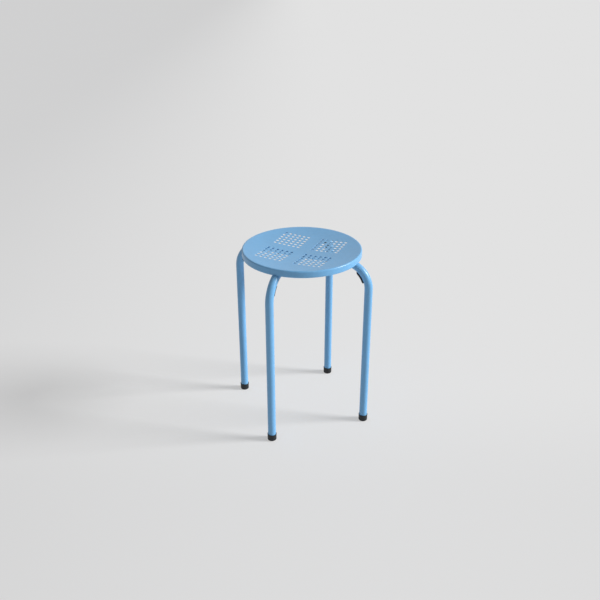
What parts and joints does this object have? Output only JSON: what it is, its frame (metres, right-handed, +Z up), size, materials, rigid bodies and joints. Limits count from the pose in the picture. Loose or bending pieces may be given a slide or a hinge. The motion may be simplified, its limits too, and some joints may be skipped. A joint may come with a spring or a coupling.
{
  "type": "stacking stool",
  "caption": "Low stool with a round, dished, perforated steel seat on crossed frames of bent steel tube, with black foot caps; stools stack seat over seat.",
  "frame": {"origin": "on the floor, under the middle of the seat", "axes": "+Z up, +X towards the right leg, +Y towards the back leg; the four legs stand on the X and Y axes"},
  "size_m": [0.3622, 0.3622, 0.4376],
  "materials": {
    "blue_paint": "light blue powder coat, satin, fine orange peel",
    "black_rubber": "moulded black rubber, dull",
    "zinc_steel": "bright zinc plating"
  },
  "bodies": {
    "root": {"seat_pan": "blue_paint", "leg_frame_upper": "blue_paint", "leg_frame_lower": "blue_paint", "foot_cap_right": "black_rubber", "foot_cap_back": "black_rubber", "foot_cap_left": "black_rubber", "foot_cap_front": "black_rubber", "stacking_pad_right": "black_rubber", "stacking_pad_back": "black_rubber", "stacking_pad_left": "black_rubber", "stacking_pad_front": "black_rubber", "weld_nut_right": "zinc_steel", "weld_nut_back": "zinc_steel", "weld_nut_left": "zinc_steel", "weld_nut_front": "zinc_steel", "seat_screw_right": "zinc_steel", "seat_screw_back": "zinc_steel", "seat_screw_left": "zinc_steel", "seat_screw_front": "zinc_steel", "screw_washer_right": "zinc_steel", "screw_washer_back": "zinc_steel", "screw_washer_left": "zinc_steel", "screw_washer_front": "zinc_steel"}
  },
  "joints": []
}
